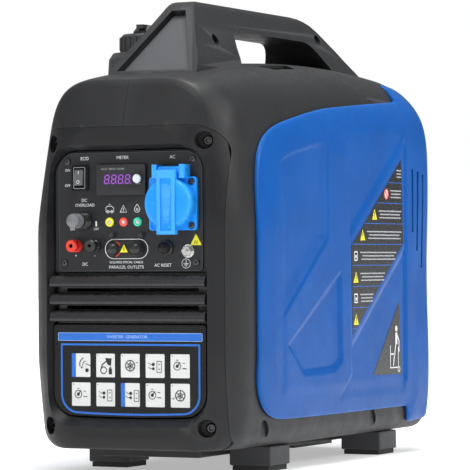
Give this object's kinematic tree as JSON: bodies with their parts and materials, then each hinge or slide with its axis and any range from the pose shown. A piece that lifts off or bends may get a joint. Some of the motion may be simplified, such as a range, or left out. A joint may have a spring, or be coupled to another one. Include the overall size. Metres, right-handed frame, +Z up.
{
  "type": "inverter generator",
  "caption": "Portable suitcase inverter generator with carrying handle, outlet panel, side covers, engine and recoil starter.",
  "frame": {"origin": "centre of the footprint on the ground the foot pads stand on", "axes": "-Y is the front with the control panel, +Y the exhaust end, +X the right side seen from behind the controls, +Z up"},
  "size_m": [0.24, 0.495, 0.456],
  "materials": {
    "black_plastic": "fine moulded grain",
    "grey_plastic": "satin",
    "blue_plastic": "satin moulded",
    "socket_blue": "semi gloss",
    "red_plastic": "gloss",
    "yellow_lens": "gloss",
    "green_lens": "gloss",
    "clear_rubber": "translucent",
    "white_plastic": "satin",
    "rubber": "matte",
    "steel": "turned",
    "aluminium": "cast",
    "copper_winding": "enamelled wire",
    "white_ceramic": "glazed"
  },
  "bodies": {
    "housing": {"right_shell": "black_plastic", "left_shell": "black_plastic", "spark_plug_hatch": "black_plastic", "front_frame": "black_plastic", "rear_panel": "black_plastic", "badge_plate": "grey_plastic", "right_side_cover": "blue_plastic", "left_side_cover": "blue_plastic", "maintenance_door": "blue_plastic", "starter_recess": "black_plastic", "foot_block_front_left": "grey_plastic", "foot_block_front_right": "grey_plastic", "foot_block_rear_left": "grey_plastic", "foot_block_rear_right": "grey_plastic", "foot_pad_front_left": "rubber", "foot_pad_front_right": "rubber", "foot_pad_rear_left": "rubber", "foot_pad_rear_right": "rubber", "base_tray": "black_plastic", "control_plate": "grey_plastic", "eco_switch_body": "black_plastic", "meter_body": "black_plastic", "ac_socket_base": "socket_blue", "ac_hinge_pin": "steel", "dc_breaker_body": "black_plastic", "ac_reset_body": "black_plastic", "lamp_yellow": "yellow_lens", "lamp_red": "red_plastic", "lamp_green": "green_lens", "dc_jack_red": "red_plastic", "dc_jack_black": "black_plastic", "parallel_outlet_body": "black_plastic", "parallel_outlet_cover": "rubber", "ground_terminal": "steel", "louvre_grille": "black_plastic", "instruction_plate": "black_plastic", "fuel_filler_collar": "black_plastic", "fuel_tank": "black_plastic", "engine_block": "aluminium", "cylinder_head_cover": "aluminium", "spark_plug": "white_ceramic", "stator": "copper_winding", "recoil_housing": "black_plastic", "inverter_module": "aluminium", "carburetor": "aluminium", "air_filter_box": "black_plastic", "muffler": "steel"},
    "socket_lid": {"ac_socket_lid": "socket_blue"},
    "eco_rocker": {"eco_rocker": "black_plastic"},
    "meter_button": {"meter_button": "white_plastic"},
    "dc_breaker_button": {"dc_breaker_button": "clear_rubber"},
    "ac_reset_button": {"ac_reset_button": "black_plastic"},
    "fuel_cap": {"fuel_cap": "black_plastic"},
    "vent_lever": {"cap_vent_lever": "black_plastic"},
    "starter_handle": {"starter_handle": "rubber"},
    "recoil_pulley": {"recoil_pulley": "black_plastic"},
    "crank_rotor": {"crankshaft": "steel", "rotor": "steel", "cooling_fan": "black_plastic"},
    "engine_switch": {"engine_switch_knob": "black_plastic"}
  },
  "joints": [
    {"name": "socket_lid_hinge", "type": "hinge", "parent": "housing", "child": "socket_lid", "pos_m": [0.0476, -0.2315, 0.2869], "axis": [-1, 0, 0], "range_deg": [0, 110], "stiffness_Nm_per_rad": 0.01},
    {"name": "eco_rocker_tilt", "type": "hinge", "parent": "housing", "child": "eco_rocker", "pos_m": [-0.0527, -0.2239, 0.2816], "axis": [1, 0, 0], "range_deg": [0, 16]},
    {"name": "meter_button_press", "type": "slide", "parent": "housing", "child": "meter_button", "axis": [0, 1, 0], "range_m": [0, 0.0012], "stiffness_N_per_m": 100},
    {"name": "dc_breaker_press", "type": "slide", "parent": "housing", "child": "dc_breaker_button", "axis": [0, 1, 0], "range_m": [0, 0.002], "stiffness_N_per_m": 150},
    {"name": "ac_reset_press", "type": "slide", "parent": "housing", "child": "ac_reset_button", "axis": [0, 1, 0], "range_m": [0, 0.002], "stiffness_N_per_m": 150},
    {"name": "fuel_cap_turn", "type": "hinge", "parent": "housing", "child": "fuel_cap", "pos_m": [-0.07, -0.0475, 0.411], "axis": [0, 0, 1], "range_deg": [0, 270]},
    {"name": "vent_lever_turn", "type": "hinge", "parent": "fuel_cap", "child": "vent_lever", "pos_m": [-0.07, -0.0475, 0.43], "axis": [0, 0, 1], "range_deg": [0, 90]},
    {"name": "starter_pull", "type": "slide", "parent": "housing", "child": "starter_handle", "axis": [-1, 0, 0], "range_m": [0, 0.5], "stiffness_N_per_m": 12},
    {"name": "recoil_pulley_spin", "type": "hinge", "parent": "housing", "child": "recoil_pulley", "pos_m": [0, -0.0855, 0.155], "axis": [0, -1, 0], "range_deg": [0, 720]},
    {"name": "crank_spin", "type": "hinge", "parent": "housing", "child": "crank_rotor", "pos_m": [0, -0.0295, 0.155], "axis": [0, -1, 0], "continuous": true},
    {"name": "engine_switch_turn", "type": "hinge", "parent": "housing", "child": "engine_switch", "pos_m": [-0.1123, -0.0855, 0.105], "axis": [-1, 0, 0], "range_deg": [0, 90]}
  ],
  "couplings": [
    {"joint": "recoil_pulley_spin", "follows": "starter_pull", "rad_per_m": 25}
  ]
}
